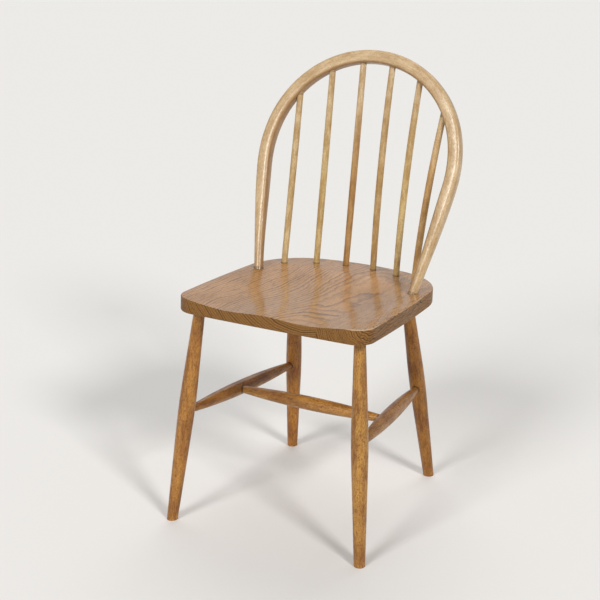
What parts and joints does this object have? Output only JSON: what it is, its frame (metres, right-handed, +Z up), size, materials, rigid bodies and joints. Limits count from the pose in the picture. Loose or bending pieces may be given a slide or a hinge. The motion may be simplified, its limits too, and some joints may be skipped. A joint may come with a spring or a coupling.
{
  "type": "windsor chair",
  "caption": "Hoop-back wooden chair with a saddled seat, slender round sticks, splayed turned legs and cross-joined stretchers.",
  "frame": {"origin": "on the floor, at the middle of the chair's bounding box", "axes": "+Z up, the front of the chair faces -Y, +X towards the viewer's right when seen from the front"},
  "size_m": [0.4094, 0.4745, 0.8131],
  "materials": {
    "seat_elm": "satin lacquered elm",
    "back_beech": "satin lacquered pale beech",
    "base_beech": "satin lacquered honey-brown beech with dark flecks",
    "wedge_oak": "bare oak"
  },
  "bodies": {
    "root": {"seat_board_left": "seat_elm", "seat_board_right": "seat_elm", "bow": "back_beech", "stick_1": "back_beech", "stick_2": "back_beech", "stick_3": "back_beech", "stick_4": "back_beech", "stick_5": "back_beech", "stick_6": "back_beech", "leg_front_left": "base_beech", "leg_back_left": "base_beech", "leg_front_right": "base_beech", "leg_back_right": "base_beech", "side_stretcher_left": "base_beech", "side_stretcher_right": "base_beech", "cross_stretcher": "base_beech", "bow_wedge_left": "wedge_oak", "bow_wedge_right": "wedge_oak"}
  },
  "joints": []
}
